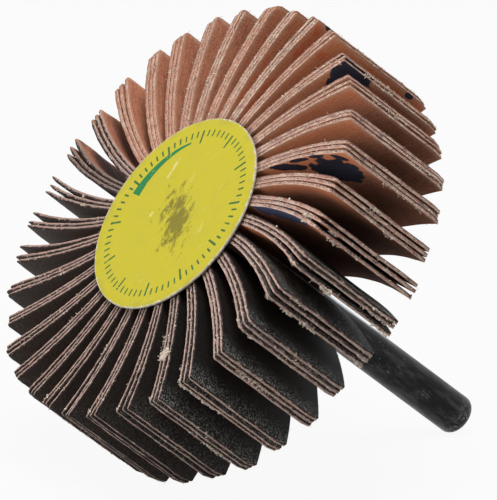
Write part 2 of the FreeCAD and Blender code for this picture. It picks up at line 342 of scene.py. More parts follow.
def cloth_material(cloth):
    """Abrasive cloth: brown backing, black grit, and pale fibres at its cut edges."""
    material, g = new_material("abrasive cloth")
    along, across, thick = g.attribute("cloth_place")
    kind, number, run = g.attribute("cloth_kind")
    from_tip = run - along
    cloth_share, greyness, dirt = g.attribute("edge_look")
    apart = kind * 40.0     # keeps the patterns of any two sheets apart

    def packs(first, last):
        return number.between(first - 0.5, last + 0.5)

    spot = g.xyz(along, across, thick * SHEET_THICKNESS + apart)

    # Backing: dyed cotton with a faint weave, cloudy patches and pale worn rims, with painted shade towards the rear
    # and beside the shank, and painted light near the front edges
    bands = {"Vector": spot, "Scale": 0.55, "Distortion": 1.5, "Detail": 1.0}
    warp, weft = [g.add("ShaderNodeTexWave", bands, wave_type="BANDS", bands_direction=way) for way in "XY"]
    threads = warp * 0.5 + weft * 0.5
    clouds = g.noise(spot, 0.16)
    fine = g.noise(g.xyz(along * 0.7, across, thick + apart), 4.6, 3.0, 0.65)
    streaks = g.noise(g.xyz(along * 0.35, across * 2.2, apart), 1.0, 3.0, 0.65)
    redder = g.noise(g.xyz(along * 0.5, across * 0.8, apart), 0.5).fade(0.50, 0.66)
    smeared = g.noise(g.xyz(along * 0.12, across * 0.8, apart), 0.7)
    dirty = (dirt * 1.2).at_most(0.85) * smeared.fade(0.40, 0.56).at_least(0.25)
    low_packs = number.fade(29.5, 31.5).at_least(0.9 - number * 0.22)
    # Painted shade on the backing of packs 30 to 33 beside the shank, less of it near the tips from pack 32 on;
    # painted light near the front edges of the low packs and on the top packs
    lit_tips = along.fade(14.0, 19.0) * number.fade(31.2, 31.8) * 0.6
    painted_shade_by_shank = packs(30, 33) * across.fade(-0.8, 4.2) * (1.0 - lit_tips)
    top_packs = number.fade(1.6, 3.0) * (1.0 - number.fade(4.0, 7.0)) * (1.0 - across.fade(8.0, 20.0) * 0.4)
    painted_light = (low_packs * (1.0 - across.fade(1.0, 7.0)) * (1.0 - painted_shade_by_shank)).at_least(top_packs)
    rim_noise = g.noise(g.xyz(along * 1.4, across * 0.4, apart), 1.0) * 0.9
    rim = 1.0 - (across - rim_noise * 0.5).fade(0.0, 0.45)
    rim = rim.at_least(1.0 - (from_tip - rim_noise * 0.5).fade(0.0, 0.6))
    deep = opaque(tuple(part * 0.74 for part in cloth.backing_colour))
    backing = g.tints(
        g.blend(clouds.fade(0.30, 0.70), deep, opaque(cloth.backing_colour)),
        (fine.fade(0.50, 0.68) * 0.45, 240, 176, 142),
        (fine.fade(0.50, 0.32) * 0.50, 128, 68, 50),
        (streaks.fade(0.50, 0.68) * 0.40, 232, 146, 104),
        (streaks.fade(0.46, 0.34) * 0.35, 150, 74, 58),
        # painted shade towards the rear of the low packs and beside the shank, then painted light near the front
        (low_packs * across.fade(2.5, 13.0) * 0.62, 66, 38, 29),
        (painted_shade_by_shank * 0.64, 44, 33, 27),
        (painted_light * 0.64, 252, 150, 102),
        (redder * top_packs * 0.70, 232, 104, 62),
        (packs(3, 12) * 0.13, 104, 46, 28),
        (rim * 0.45, 214, 178, 152),
        (dirty, 92, 84, 88))

    # Navy stains of the dye on a few packs, in ovals with ragged rims
    ragged = g.noise(spot, 0.55)
    stain = 0.0
    for oval in range(STAIN_OVALS):
        mid_along, mid_across, slope = g.attribute("stain_place_%d" % oval)
        half_along, half_across, _ = g.attribute("stain_size_%d" % oval)
        off_along = (along - mid_along) / half_along
        off_across = (across - mid_across - slope * (along - mid_along)) / half_across
        off = diagonal(off_along, off_across)
        stain = (1.5 - off + (ragged - 0.5) * 1.1).fade(0.47, 0.56).at_least(stain)
    dye = g.blend(clouds.fade(0.3, 0.7), paint(29, 36, 49), paint(50, 57, 73))
    bluer = packs(32, 32) * (1.0 - across.fade(0.5, 3.5) * 0.7) * 0.65
    dye = g.tint(dye, bluer, 100, 110, 146)
    backing = g.blend(stain * 0.98, backing, dye)

    # Grit: dark grains of many sizes in black bond, worn grey towards the tip, where the pale grains also carry a
    # painted glint
    grain_tone = g.split(g.cells(spot, 8.0, "Color"))[0]
    grain_dome = g.cells(spot, 8.0, "Distance")
    before_shank = packs(30, 30)
    to_tip = (1.0 - from_tip / 4.0).at_least(before_shank * 0.78) ** 1.8
    # pale grains near the tip: worn grit, brightened further as a painted glint
    rubbed_and_lit = g.noise(spot, 0.45).fade(0.10, 0.44) * to_tip * number.fade(23.8, 27.0).at_least(0.10)
    worn_and_glinting = grain_tone.fade(0.58, 0.98) * (0.02 + rubbed_and_lit * 0.80)
    grit = g.tints(
        g.blend(grain_tone * 0.6, opaque(cloth.grit_colour), paint(25, 24, 23)),
        (before_shank * 0.5, 6, 6, 6),
        ((1.0 - number.fade(20.0, 27.0)) * (0.40 + grain_tone * 0.5), 66, 54, 47),
        (worn_and_glinting, 196, 200, 195))

    # Cut edge: pale cotton ends beside the backing, dark bond and grit over the rest
    along_edge = g.xyz(along, across, apart + thick * 1.6)
    rough = g.noise(along_edge, 2.4, 4.0, 0.75)
    broken = g.noise(g.xyz(along, across, apart + thick * 0.8), 0.75, 4.0, 0.7)
    clump = g.noise(g.xyz(along * 0.35, across * 0.35, number * 3.0), 1.0, 2.0, 0.5)
    bits = g.xyz(along, across, apart + thick * 1.2)
    dots = g.split(g.cells(bits, 3.0, "Color"))[0]
    tiny = g.split(g.cells(bits, 6.2, "Color"))[1]
    dyed = cloth_share.fade(0.60, 0.75)
    lengths = g.noise(g.xyz(along * 0.8, across * 0.8, apart + thick * 0.3), 0.55, 3.0, 0.65)
    tan = dyed * (1.0 - low_packs * 0.6)
    cotton = g.blend(tan, opaque(cloth.edge_colour), paint(194, 143, 120))
    cotton = g.tint(cotton, packs(23, 30) * 0.45, 190, 166, 163)
    shade = g.blend(tan, paint(112, 88, 82), paint(142, 92, 74))
    greyness = greyness + (1.0 - from_tip.fade(0.4, 1.6)) * 0.08
    speckle = (0.12 + greyness * 1.3).at_most(1.0)
    rims = (1.0 - (thick - 0.14).math("ABSOLUTE").fade(0.03, 0.13)) * rough.fade(0.36, 0.52)
    fibre = g.tints(
        g.blend(rough.fade(0.34, 0.56), shade, cotton),
        ((greyness + (broken - 0.5) * 1.8).fade(0.2, 0.8), 202, 190, 176),
        (rough.fade(0.46, 0.30) * (0.25 + speckle * 0.5), 88, 58, 52),
        (clump.fade(0.60, 0.72) * 0.5, 208, 200, 184),
        ((dots > 0.84) * (0.25 + speckle * 0.5), 214, 202, 184),
        ((dots < 0.24) * speckle * 0.7, 104, 70, 64),
        ((tiny < 0.18) * speckle * 0.8, 60, 38, 36),
        (dyed * lengths.fade(0.52, 0.68) * 0.55, 212, 188, 168),
        (dyed * lengths.fade(0.46, 0.36) * 0.55, 146, 88, 70),
        (dyed * (broken - low_packs * 0.03).fade(0.42, 0.34) * 0.8, 70, 66, 76),
        (rims * (0.35 + dyed * 0.35), 222, 190, 168),
        ((dirt * 0.8).at_least(packs(17, 26) * 0.12), 78, 72, 70))
    outline = (0.03 + (rough - 0.5) * 0.3 - thick).fade(0.0, 0.06)
    wander = ((rough - 0.5) * 0.9 + (broken - 0.5) * 1.3 + (dots - 0.5) * 0.30) * (1.0 - dyed * 0.45)
    bond = (thick + wander - cloth_share).fade(-0.08, 0.10)
    glue = g.blend(cloth_share.fade(0.50, 0.80), paint(26, 21, 20), paint(96, 62, 52))
    glue = g.tint(glue, rough.fade(0.52, 0.66) * 0.35, 128, 104, 94)
    edge = g.blend(bond, fibre, glue)
    edge = g.tint(edge, outline * 0.55, 104, 60, 48)

    colour = g.blend(thick.fade(0.01, 0.04), backing, edge)
    on_grit = thick.fade(0.965, 0.99)
    colour = g.blend(on_grit, colour, grit)
    height = g.blend(on_grit, threads * 0.3 + fine * 0.7, 1.0 - grain_dome * 1.6)
    finish_material(g, {
        "Base Color": colour,
        "Roughness": 0.78 - on_grit * 0.16,
        "Specular IOR Level": 0.14,
    }, g.split(height)[0], distance=0.00014, strength=0.6)
    return material


def fibre_material(cloth):
    """Loose cotton ends and crumbs of glue, from cream to grey."""
    material, g = new_material("loose fibre")
    tone = g.attribute("fibre_tone")[0]
    spot = g.add("ShaderNodeTexCoord", out="Object")
    mottle = g.noise(spot, 2500.0, 2.0, 0.6)
    colour = g.tints(
        g.blend(tone.fade(0.1, 0.75), opaque(cloth.edge_colour), paint(216, 206, 189)),
        (tone.fade(0.75, 1.0) * 0.7, 176, 167, 154),
        (mottle.fade(0.50, 0.70) * 0.4, 112, 82, 70))
    finish_material(g, {"Base Color": colour, "Roughness": 0.85 + mottle * 0.1, "Specular IOR Level": 0.2},
                    mottle, distance=0.00005, strength=0.3)
    return material


def disc_material(disc):
    """Printed card: yellow face with a generic dial print, scuffed and stained."""
    material, g = new_material("printed card")
    x, y, height = g.attribute("disc_place")
    spot = g.xyz(x, y, height)
    radius = diagonal(x, y)
    angle = y.math("ARCTAN2", x) / (2 * math.pi) + 0.5
    scale = disc.radius / MM

    paper_noise = g.noise(spot, 0.35, 4.0, 0.6)
    fine = g.noise(spot, 4.0, 3.0, 0.7)
    face = g.blend(paper_noise.fade(0.30, 0.75) * 0.6, opaque(disc.colour), paint(186, 174, 56))
    face = g.tint(face, fine.fade(0.62, 0.80) * 0.18, 222, 214, 130)

    # Dial ring with longer marks at each twelfth
    ring_mark = (angle * 72.0).math("FRACT").between(0.37, 0.63) * radius.between(scale * 0.81, scale * 0.88)
    twelfth = (angle * 12.0 + 0.5 - 1 / 12).math("FRACT").between(0.473, 0.527)
    print_mask = ring_mark.at_least(twelfth * radius.between(scale * 0.74, scale * 0.88))
    worn = g.noise(spot, 1.2, 2.0, 0.6).fade(0.26, 0.36)
    face = g.blend(print_mask * worn, face, opaque(disc.print_colour))

    # Broad arc that widens along the rim
    turn = (angle + 0.30).math("FRACT")
    sweep = turn.between(0.0, 0.16)
    inner = scale * 0.76 - turn * scale * 0.62
    arc = sweep * radius.between(0.0, scale * 0.78) * (radius > inner)
    face = g.blend(arc * worn, face, opaque(disc.arc_colour))

    # Olive smudge over the middle, scratches and specks
    smudge_x, smudge_y = x - 0.2, y + 1.3
    smudge_off = (smudge_x * smudge_x / 8.0 + smudge_y * smudge_y / 24.0).math("SQRT")
    patchy = g.noise(g.xyz(x * 0.8 - y * 0.6, x * 0.35 + y * 0.45, height), 0.95, 5.0, 0.75)
    smudge = (patchy * 3.9 - 0.74 - smudge_off * 0.66).fade(0.42, 1.0)
    face = g.tint(face, smudge * 0.84, 108, 99, 33)
    streak = g.noise(g.xyz(x * 0.30 + y * 0.15, y * 2.6 - x * 1.3, height), 1.6, 2.0, 0.5)
    face = g.tint(face, streak.fade(0.68, 0.76) * 0.35, 232, 228, 190)
    crumbling = g.noise(spot, 1.6, 3.0, 0.7)
    slant_x, slant_y = 0.73, 0.68       # way in which the scuffs run
    for mid_x, mid_y, half_x, half_y, share in SCUFFS:
        off_x, off_y = x - mid_x, y - mid_y
        lengthways = (off_x * slant_x + off_y * slant_y) / half_x
        sideways = (off_y * slant_x - off_x * slant_y) / half_y
        off = diagonal(lengthways, sideways)
        scuff = (1.3 - off + (crumbling - 0.5) * 3.0).fade(0.25, 0.95)
        face = g.tint(face, scuff * share, 229, 219, 158)
    speck = g.cells(spot, 0.9)
    face = g.tint(face, (1.0 - speck.fade(0.05, 0.11)) * 0.5, 96, 92, 48)
    grime = radius.fade(scale * 0.90, scale * 1.0) * g.noise(spot, 0.5, 2.0, 0.5).fade(0.40, 0.65)
    face = g.tint(face, grime * 0.35, 150, 140, 60)

    # Pale card on the side, and a thin ragged ring on the face by the rim where the print is chipped, partly a
    # painted highlight along the rim
    side = 1.0 - height.fade(disc.thickness / MM * 0.72, disc.thickness / MM * 0.90)
    chipped_and_lit_rim = (radius + (g.noise(spot, 1.3, 3.0, 0.7) - 0.5) * 0.9).fade(scale - 0.22, scale - 0.08)
    pulp = g.noise(spot, 1.5, 3.0, 0.7).fade(0.35, 0.7)
    card = g.blend(pulp, paint(168, 162, 138), paint(222, 219, 203))
    face = g.blend(side.at_least(chipped_and_lit_rim), face, card)
    finish_material(g, {"Base Color": face, "Roughness": fine.spread(0.3, 0.7, 0.50, 0.64),
                        "Specular IOR Level": 0.25},
                    paper_noise * 0.6 + fine * 0.4, distance=0.00006, strength=0.3)
    return material


def steel_material(spindle):
    """Blackened steel, scratched through to grey along and round the shank."""
    material, g = new_material("blackened steel")
    x, y, along = g.attribute("turned_place")
    spot = g.xyz(x, y, along)
    long_marks = g.noise(g.xyz(x * 2.4, y * 2.4, along * 0.14), 1.0, 4.0, 0.65)
    smears = g.noise(g.xyz(x * 0.9, y * 0.9, along * 0.22), 1.0)
    round_marks = g.noise(g.xyz(x * 0.2, y * 0.2, along * 4.0), 1.0)
    patches = g.noise(spot, 0.6, 4.0, 0.7)
    nicks = g.cells(spot, 1.3)
    fine = g.noise(g.xyz(x, y, along * 0.5), 4.0, 4.0, 0.7)
    bare = (long_marks * 0.8 + patches * 0.5).fade(0.76, 0.92) * 0.75
    worn_end = (1.0 - along.fade(SHANK_END + 0.6, SHANK_END + 3.8)) * patches.fade(0.36, 0.56)
    bare = bare.at_least(worn_end * fine.fade(0.42, 0.62))
    scratches = g.noise(g.xyz(x * 5.0, y * 5.0, along * 0.30 + x * 0.5), 1.0, 4.0, 0.7).fade(0.60, 0.68)
    nick = (1.0 - nicks.fade(0.06, 0.11)) * along.fade(-48.0, -38.0)

    # Painted highlight: a bright bluish strip along one side near the wheel, standing in for a reflection, made
    # metallic there
    facing = (x * math.cos(HIGHLIGHT_SIDE) + y * math.sin(HIGHLIGHT_SIDE)) / (spindle.radius / MM)
    painted_highlight = (facing + (long_marks - 0.5) * 0.08).fade(0.945, 0.99) * along.fade(-45.0, -36.0)
    colour = g.tints(
        g.blend(smears.fade(0.42, 0.70), opaque(spindle.colour), paint(54, 57, 55)),
        (bare, 122, 123, 119),
        (scratches * patches.fade(0.40, 0.60) * 0.5, 112, 117, 113),
        (nick * 0.8, 168, 178, 180),
        (painted_highlight * 0.85, 196, 206, 216))
    finish_material(g, {
        "Base Color": colour,
        "Metallic": bare.spread(0.0, 1.0, 0.75, 0.90).at_least(painted_highlight),
        "Roughness": patches.spread(0.3, 0.7, 0.30, 0.48),
        "Specular IOR Level": 0.3,
    }, long_marks * 0.5 + round_marks * 0.15 + fine * 0.35, distance=0.00008, strength=0.5)
    return material


def resin_material():
    """Dark brown cast resin, slightly glossy, with dust and small pits."""
    material, g = new_material("cast resin")
    spot = g.add("ShaderNodeTexCoord", out="Object")
    clouds = g.noise(spot, 260.0, 4.0, 0.6)
    fine = g.noise(spot, 1500.0, 4.0, 0.7)
    bubbles = g.cells(spot, 520.0)
    colour = g.tints(
        g.blend(clouds.fade(0.36, 0.64), paint(46, 31, 24), paint(108, 78, 56)),
        (fine.fade(0.54, 0.72) * 0.55, 152, 128, 104),
        (fine.fade(0.44, 0.30) * 0.5, 34, 24, 19),
        ((1.0 - bubbles.fade(0.10, 0.17)) * 0.8, 20, 15, 13))
    finish_material(g, {"Base Color": colour, "Roughness": clouds.spread(0.3, 0.7, 0.40, 0.62)},
                    clouds * 0.5 + fine * 0.3 + bubbles.at_most(0.2), distance=0.0003, strength=0.6)
    return material


def seen_directly(g):
    """1 for what the camera sees, straight or mirrored in gloss or through glass."""
    camera = g.add("ShaderNodeLightPath", out="Is Camera Ray")
    return camera.at_least(camera.beside("Is Glossy Ray")).at_least(camera.beside("Is Transmission Ray"))


def plain_stage_material(name, colour, white_share):
    """Pale floor that keeps its shadows, and looks near white to the camera."""
    material, g = new_material(name)
    spot = g.add("ShaderNodeTexCoord", out="Object")
    tone = g.noise(spot, 12.0, 2.0, 0.5).spread(0.3, 0.7, 0.985, 1.0)
    paper = g.blend(1.0, opaque(colour), g.xyz(tone, tone, tone), "MULTIPLY")
    matt = g.add("ShaderNodeBsdfDiffuse", {"Color": paper})
    glow = g.add("ShaderNodeEmission", {"Color": (1, 1, 1, 1), "Strength": 1.0})
    mixed = g.add("ShaderNodeMixShader", {0: seen_directly(g) * white_share, 1: matt, 2: glow})
    g.add("ShaderNodeOutputMaterial", {"Surface": mixed})
    return material


# Geometry trees

def new_tree(name, sizes, mesh=False):
    """Geometry tree with named inputs and their defaults."""
    tree = bpy.data.node_groups.new(name, "GeometryNodeTree")
    if mesh:
        tree.interface.new_socket(name="Geometry", in_out="INPUT", socket_type="NodeSocketGeometry")
    kinds = {float: "NodeSocketFloat", int: "NodeSocketInt", tuple: "NodeSocketVector"}
    for label, value in sizes.items():
        socket = tree.interface.new_socket(name=label, in_out="INPUT", socket_type=kinds[type(value)])
        socket.default_value = value
    for label in ("Material", "Fibre material"):
        tree.interface.new_socket(name=label, in_out="INPUT", socket_type="NodeSocketMaterial")
    tree.interface.new_socket(name="Geometry", in_out="OUTPUT", socket_type="NodeSocketGeometry")
    g = Graph(tree)
    entry = tree.nodes.new("NodeGroupInput")
    return tree, g, {output.name: Wire(g, output) for output in entry.outputs if output.name}


def close_tree(g, geometry):
    g.add("NodeGroupOutput", {"Geometry": geometry})


def made_real(g, pieces):
    """Pieces joined, with the copies on their points turned into meshes."""
    joined = g.add("GeometryNodeJoinGeometry", {"Geometry": pieces})
    return g.add("GeometryNodeRealizeInstances", {"Geometry": joined})


def store(g, geometry, name, value, kind="FLOAT_VECTOR"):
    values = {"Geometry": geometry, "Name": name, "Value": value}
    return g.add("GeometryNodeStoreNamedAttribute", values, data_type=kind, domain="POINT")


def named(g, name, kind="FLOAT_VECTOR"):
    return g.add("GeometryNodeInputNamedAttribute", {"Name": name}, "Attribute", data_type=kind)


def scatter(g, geometry, where, density, seed):
    """Random points on chosen faces, each with its own tone and its face's slant."""
    points = g.add("GeometryNodeDistributePointsOnFaces", {
        "Mesh": geometry, "Selection": where, "Density": density, "Seed": seed}, "Points")
    tone = g.random(0.1, 1.0, seed + 1)
    toned = store(g, points, "fibre_tone", g.xyz(tone, tone, tone))
    return store(g, toned, "slant", points.beside("Rotation"), "QUATERNION")


def strew(g, points, shape, least, most, tilt, seed):
    """A copy of a small shape on every point, turned and scaled at random."""
    lean = g.random((-tilt, -tilt, -3.14), (tilt, tilt, 3.14), seed)
    lean = g.add("FunctionNodeEulerToRotation", {0: lean})
    turn = g.add("FunctionNodeRotateRotation", {
        "Rotation": named(g, "slant", "QUATERNION"), "Rotate By": lean}, rotation_space="LOCAL")
    return g.add("GeometryNodeInstanceOnPoints", {
        "Points": points, "Instance": shape, "Rotation": turn, "Scale": g.random(least, most, seed + 1)})


def strand_shape(g):
    """Short bent cotton end, about one unit long."""
    arch = g.add("GeometryNodeCurveQuadraticBezier", {
        "Resolution": 4, "Start": (0.0, 0.0, 0.0), "Middle": (0.10, 0.0, 0.45), "End": (0.70, 0.16, 0.38)})
    section = g.add("GeometryNodeCurvePrimitiveCircle", {"Resolution": 3, "Radius": 0.075}, mode="RADIUS")
    return g.add("GeometryNodeCurveToMesh", {"Curve": arch, "Profile Curve": section, "Fill Caps": True})


def crumb_shape(g):
    """Dented crumb of glue and fluff, about one unit across."""
    ball = g.add("GeometryNodeMeshIcoSphere", {"Radius": 1.0, "Subdivisions": 2})
    dents = g.noise(g.add("GeometryNodeInputPosition"), 1.7, 2.0, 0.6, "Color")
    push = g.add("ShaderNodeVectorMath", {
        0: dents, 1: (1.5, 1.5, 1.5), 2: (-0.75, -0.75, -0.75)}, operation="MULTIPLY_ADD")
    return g.add("GeometryNodeSetPosition", {"Geometry": ball, "Offset": push})


def fluff_tree():
    """Dented crumbs on the points of a mesh, and bent strands on some of them."""
    tree, g, size = new_tree("Fluff", {"Strand length": 0.8, "Share of strands": 0.3}, mesh=True)
    points = g.add("GeometryNodeMeshToPoints", {"Mesh": size["Geometry"]})
    tone = g.random(0.35, 0.85, 2)
    points = store(g, points, "fibre_tone", g.xyz(tone, tone, tone))
    chance = g.random(0.0, 1.0, 3)
    crumb_size = g.split(named(g, "bit_size"))[0]
    bits = []
    for shape, wide, chosen, seed in (
            (crumb_shape(g), crumb_size, chance > -1.0, 21),
            (strand_shape(g), size["Strand length"], chance < size["Share of strands"], 31)):
        share = g.random(0.3, 1.0, seed)
        turn = g.random((-3.1, -3.1, -3.1), (3.1, 3.1, 3.1), seed + 1)
        turn = g.add("FunctionNodeEulerToRotation", {0: turn})
        flat = g.xyz(share * wide, share * wide * 0.8, share * wide * 0.6)
        bits.append(g.add("GeometryNodeInstanceOnPoints", {
            "Points": points, "Selection": chosen, "Instance": shape, "Rotation": turn, "Scale": flat}))
    close_tree(g, g.add("GeometryNodeSetMaterial", {
        "Geometry": made_real(g, bits), "Material": size["Fibre material"]}))
    return tree


def flap_pack_tree():
    """One pack of bent sheets, with worn and ragged outer edges."""
    tree, g, size = new_tree("Flap pack", {
        "Sheets": SHEETS, "Sheet thickness": SHEET_THICKNESS, "Width": 20.0, "Root radius": 11.0,
        "Core radius": 13.0, "Tip radius": 35.0, "Set-back": 4.5, "Gap before": 0.2,
        "Gap after": 0.2, "Corner wear": 0.0, "Raggedness": 0.1, "Waviness": 0.3, "Seed": 0.0,
        "Tip thinning": 0.2, "Edge look": (0.6, 0.3, 0.0), "Fibre density": 2.0, "Crumb density": 0.1,
        **{"Stain place %d" % oval: NO_STAIN[:3] for oval in range(STAIN_OVALS)},
        **{"Stain size %d" % oval: (*NO_STAIN[3:], 0.0) for oval in range(STAIN_OVALS)},
    })
    cube = g.add("GeometryNodeMeshCube", {
        "Size": (1.0, 1.0, 1.0), "Vertices X": 48, "Vertices Y": 20, "Vertices Z": 4})
    line = g.add("GeometryNodeMeshLine", {"Count": size["Sheets"], "Offset": (0.0, 0.0, 2.0)}, mode="OFFSET")
    stack = g.add("GeometryNodeInstanceOnPoints", {"Points": line, "Instance": cube})
    stack = g.add("GeometryNodeRealizeInstances", {"Geometry": stack})
    x, y, z = g.split(g.add("GeometryNodeInputPosition"))
    place = (z / 2.0).math("ROUND")
    lift = z - place * 2.0
    length_share = x + 0.5
    width_share = (y + 0.5) ** 1.6
    thickness = size["Sheet thickness"]
    steps = place - (size["Sheets"] - 1.0) / 2.0
    gap = size["Gap before"] + (size["Gap after"] - size["Gap before"]) * (steps > 0.0)
    back = size["Set-back"] - steps * gap
    core, tip, width = size["Core radius"], size["Tip radius"], size["Width"]
    run = tip - core
    bend = (run * run + back * back) / (back * 2.0) + steps * thickness
    centre = steps * thickness - bend
    radius = bend + lift * thickness
    reach = (tip * tip - core * core - centre * centre - radius * radius) / (radius * 2.0)
    full_turn = (reach / diagonal(core, centre)).math("ARCSINE") - centre.math("ARCTAN2", core)

    # Worn and ragged ends
    root_share = 0.05
    share = ((length_share - root_share) / (1.0 - root_share)).at_least(0.0)
    along, across = share * run, width_share * width
    kind_spot = place * 13.0 + size["Seed"] * 7.0       # a spot in the noises for each sheet
    ragged = g.noise(g.xyz(along, across, kind_spot + lift * 0.8), 1.3, 3.0, 0.7) - 0.5
    corner = (1.0 - across / size["Corner wear"].at_least(0.01)).at_least(0.0)
    loss = size["Corner wear"] * (1.0 - (1.0 - corner * corner).at_least(0.0).math("SQRT"))
    rear_corner = (1.0 - (width - across) / 0.7).at_least(0.0)
    kind = g.own_random(kind_spot + 0.37)
    frayed = ragged * size["Raggedness"] * 3.0
    uneven = (kind - 0.3) * (0.35 + size["Corner wear"] * 0.4)
    loss = loss + rear_corner * rear_corner * 0.4 + frayed + uneven
    turn = share * (full_turn - loss / radius)
    ripple = (g.noise(g.xyz(along, across, size["Seed"] * 11.0), 0.11, 2.0, 0.5) - 0.5) * size["Waviness"]
    own = (g.noise(g.xyz(along, across, kind_spot + 50.0), 0.22, 2.0, 0.5) - 0.5) * 0.12
    tip_zone = ((along - run + 2.2) / 2.2).at_least(0.0)
    front_zone = (1.0 - across / 3.0).at_least(0.0)
    thin = tip_zone * tip_zone * (0.3 + front_zone * 0.7) * size["Tip thinning"]
    wobble = (g.noise(g.xyz(along, across, kind_spot + 80.0), 0.8, 2.0, 0.6) - 0.5) * front_zone ** 3.0
    sway = (ripple + own + wobble * 0.22) * share * 1.4 - lift * thickness * thin
    bent_x = core + radius * turn.math("SINE")
    bent_y = centre + radius * turn.math("COSINE") + sway
    root_x = size["Root radius"] + length_share / root_share * (core - size["Root radius"])
    root_y = (steps + lift) * thickness
    in_root = length_share < root_share - 0.001
    out_x = bent_x + (root_x - bent_x) * in_root
    out_y = bent_y + (root_y - bent_y) * in_root
    front = (1.0 - (width_share * 14.0).at_most(1.0)) * share.fade(0.02, 0.2)
    slip = g.own_random(kind_spot + 4.61) - 0.5
    out_z = ragged * front * size["Raggedness"] * 2.6 + slip * share * 0.3 - across
    placed = store(g, stack, "cloth_place", g.xyz(along, across, lift + 0.5))
    placed = store(g, placed, "cloth_kind", g.xyz(kind, size["Seed"], run))
    for oval in range(STAIN_OVALS):
        placed = store(g, placed, "stain_place_%d" % oval, size["Stain place %d" % oval])
        placed = store(g, placed, "stain_size_%d" % oval, size["Stain size %d" % oval])
    placed = store(g, placed, "edge_look", size["Edge look"])
    placed = g.add("GeometryNodeSetPosition", {"Geometry": placed, "Position": g.xyz(out_x, out_y, out_z)})
    placed = g.add("GeometryNodeSetShadeSmooth", {"Geometry": placed, "Shade Smooth": True}, domain="FACE")
    crease = g.add("GeometryNodeInputMeshEdgeAngle") > SHEET_CREASE
    placed = g.add("GeometryNodeSetShadeSmooth", {
        "Geometry": placed, "Selection": crease, "Shade Smooth": False}, domain="EDGE")

    # Loose fibres and crumbs stand on the cut edges, thicker in clumps
    on_along, on_across, on_thick = g.split(named(g, "cloth_place"))
    at_end = (on_across < 0.05).at_least(on_across > width - 0.05).at_least(on_along > run - 0.05)
    on_edge = on_thick.between(0.02, 0.98) * at_end
    clumps = g.noise(g.xyz(on_along, on_across, size["Seed"] * 5.0), 0.30)
    fibre_density = size["Fibre density"] * (0.25 + clumps.fade(0.45, 0.70) * 2.6)
    crumb_density = size["Crumb density"] * (0.35 + clumps.fade(0.48, 0.70) * 4.0)
    fibre_places = scatter(g, placed, on_edge * on_thick.fade(0.95, 0.2), fibre_density, seed=3)
    crumb_places = scatter(g, placed, on_edge, crumb_density, seed=11)
    fibres = strew(g, fibre_places, strand_shape(g), (0.22, 0.22, 0.14), (0.75, 0.60, 0.45), tilt=0.5, seed=5)
    crumbs = strew(g, crumb_places, crumb_shape(g), (0.06, 0.05, 0.03), (0.30, 0.20, 0.13), tilt=0.5, seed=17)
    together = g.add("GeometryNodeSetMaterial", {
        "Geometry": made_real(g, [placed, fibres, crumbs]), "Material": size["Material"]})
    is_loose = g.split(named(g, "fibre_tone"))[0] > 0.01
    close_tree(g, g.add("GeometryNodeSetMaterial", {
        "Geometry": together, "Selection": is_loose, "Material": size["Fibre material"]}))
    return tree


# Pieces

def edge_look(number):
    """Share of the cut edge that is cotton, its greyness and its dirt, for a pack."""
    if number in (12, 13):
        return (0.55, 0.30, 0.75 if number == 13 else 0.12)
    if 4 <= number < 12:
        return (0.86, {4: 0.42, 5: 0.34, 7: 0.30, 8: 0.24}.get(number, 0.04), 0.0)
    if number < 4 or number > 31:
        return (0.80, 0.22, 0.0)
    if number < 18:
        return (0.50, 0.20, 0.25)
    return (0.56 if number > 27 else 0.46, 0.30, 0.16 if number < 25 else 0.0)


def root_radius(thickness):
    """Distance of the packs' inner ends from the axis, which leaves a rib between them."""
    return (SHEETS * thickness + ROOT_RIB) / (2 * math.tan(PITCH / 2))


def sheet_point(number, place, along, across, tip_radius, thickness):
    """Point on the backing side of a sheet, along it from the core and across from the front."""
    set_back, gap_before, gap_after, wear = PACK_ROWS[number]
    steps = place - (SHEETS - 1) / 2
    set_back -= steps * (gap_after if steps > 0 else gap_before)
    core = root_radius(thickness) + SEAT_DEPTH
    run = tip_radius - wear - core
    bend = (run ** 2 + set_back ** 2) / (2 * set_back) + steps * thickness
    turn = along / bend
    x = core + (bend - thickness / 2) * math.sin(turn)
    y = steps * thickness - bend + (bend - thickness / 2) * math.cos(turn)
    return Matrix.Rotation(number * PITCH, 3, "Z") @ Vector((x, y, -across))


def own_mesh(name, tree, values, start=None):
    """Plain mesh that a geometry tree gives for these input values."""
    holder = bpy.data.objects.new(name, start or bpy.data.meshes.new(name))
    bpy.context.scene.collection.objects.link(holder)
    modifier = holder.modifiers.new("shape", "NODES")
    modifier.node_group = tree
    for item in tree.interface.items_tree:
        if item.in_out == "INPUT" and item.name in values:
            modifier[item.identifier] = values[item.name]
    holder.update_tag()
    evaluated = holder.evaluated_get(bpy.context.evaluated_depsgraph_get())
    mesh = bpy.data.meshes.new_from_object(evaluated)
    mesh.name = name
    bpy.data.objects.remove(holder)
    return mesh


def settle(mesh, name, slot, *nodes, turn=0.0):
    """Object of a mesh in the wheel's own space, laid in the model's frame."""
    mesh.transform(TO_ROW @ Matrix.Rotation(turn, 4, "Z"))
    mesh.update()
    piece = bpy.data.objects.new(name, mesh)
    bpy.context.scene.collection.objects.link(piece)
    if nodes:
        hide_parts(*nodes)
    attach(piece, "root")


def place_attribute(mesh, name, values):
    layer = mesh.attributes.new(name, "FLOAT_VECTOR", "POINT")
    for item, value in zip(layer.data, values):
        item.vector = value


